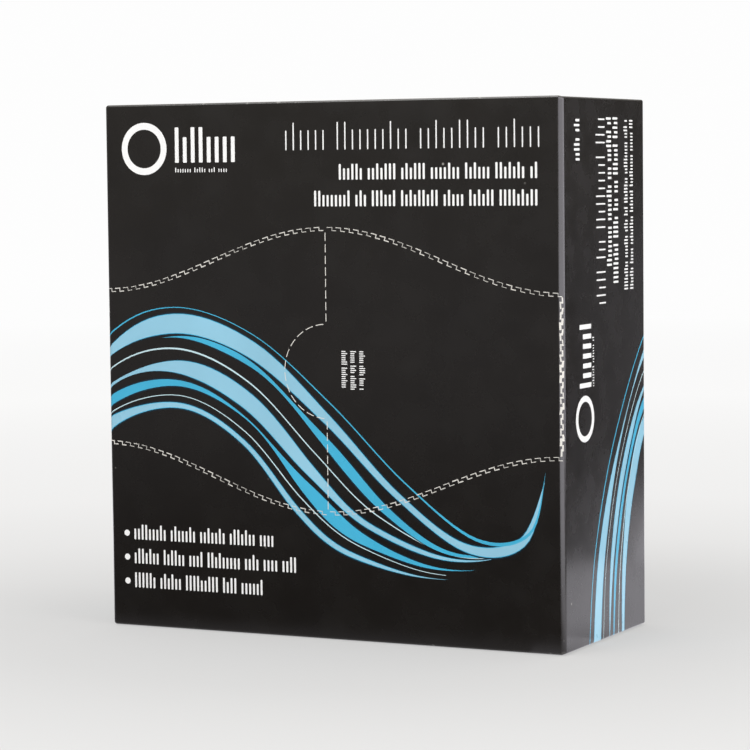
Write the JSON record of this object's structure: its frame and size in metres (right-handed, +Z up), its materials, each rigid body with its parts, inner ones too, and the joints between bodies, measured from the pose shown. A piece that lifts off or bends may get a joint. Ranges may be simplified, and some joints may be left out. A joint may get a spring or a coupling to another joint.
{
  "type": "foil sheet dispenser carton",
  "caption": "Glossy printed paperboard carton of interfolded foil sheets for hair colouring, with a wavy perforated front window that opens as two leaves from a half-round thumb tab.",
  "frame": {"origin": "centre of the carton's base, on the surface it stands on", "axes": "+Z up, +Y towards the back, so the window faces -Y; +X to the right as seen from the front"},
  "size_m": [0.134, 0.0566, 0.1413],
  "materials": {
    "printed_board": "gloss",
    "plain_board": "matte",
    "foil": "satin"
  },
  "bodies": {
    "carton": {"front_panel_upper": "printed_board", "front_panel_lower": "printed_board", "left_side_panel": "printed_board", "right_side_panel": "printed_board", "back_panel": "printed_board", "top_outer_flap": "printed_board", "bottom_outer_flap": "printed_board", "glue_flap": "plain_board", "top_inner_flap": "plain_board", "top_left_dust_flap": "plain_board", "top_right_dust_flap": "plain_board", "bottom_inner_flap": "plain_board", "bottom_left_dust_flap": "plain_board", "bottom_right_dust_flap": "plain_board", "foil_sheet_01": "foil", "foil_sheet_02": "foil", "foil_sheet_03": "foil", "foil_sheet_04": "foil", "foil_sheet_05": "foil", "foil_sheet_06": "foil", "foil_sheet_07": "foil", "foil_sheet_08": "foil", "foil_sheet_09": "foil", "foil_sheet_10": "foil", "foil_sheet_11": "foil", "foil_sheet_12": "foil", "foil_stack": "foil"},
    "left_tear_panel": {"left_tear_panel": "printed_board"},
    "right_tear_panel": {"right_tear_panel": "printed_board"},
    "thumb_tab": {"thumb_tab": "printed_board"}
  },
  "joints": [
    {"name": "left_tear_hinge", "type": "hinge", "parent": "carton", "child": "left_tear_panel", "pos_m": [-0.06659, -0.02794, 0.07065], "axis": [0, 0, -1], "range_deg": [0, 160]},
    {"name": "right_tear_hinge", "type": "hinge", "parent": "carton", "child": "right_tear_panel", "pos_m": [0.06659, -0.02794, 0.07065], "axis": [0, 0, 1], "range_deg": [0, 160]},
    {"name": "thumb_tab_hinge", "type": "hinge", "parent": "right_tear_panel", "child": "thumb_tab", "pos_m": [0, -0.02813, 0.07065], "axis": [0, 0, -1], "range_deg": [0, 20]}
  ]
}
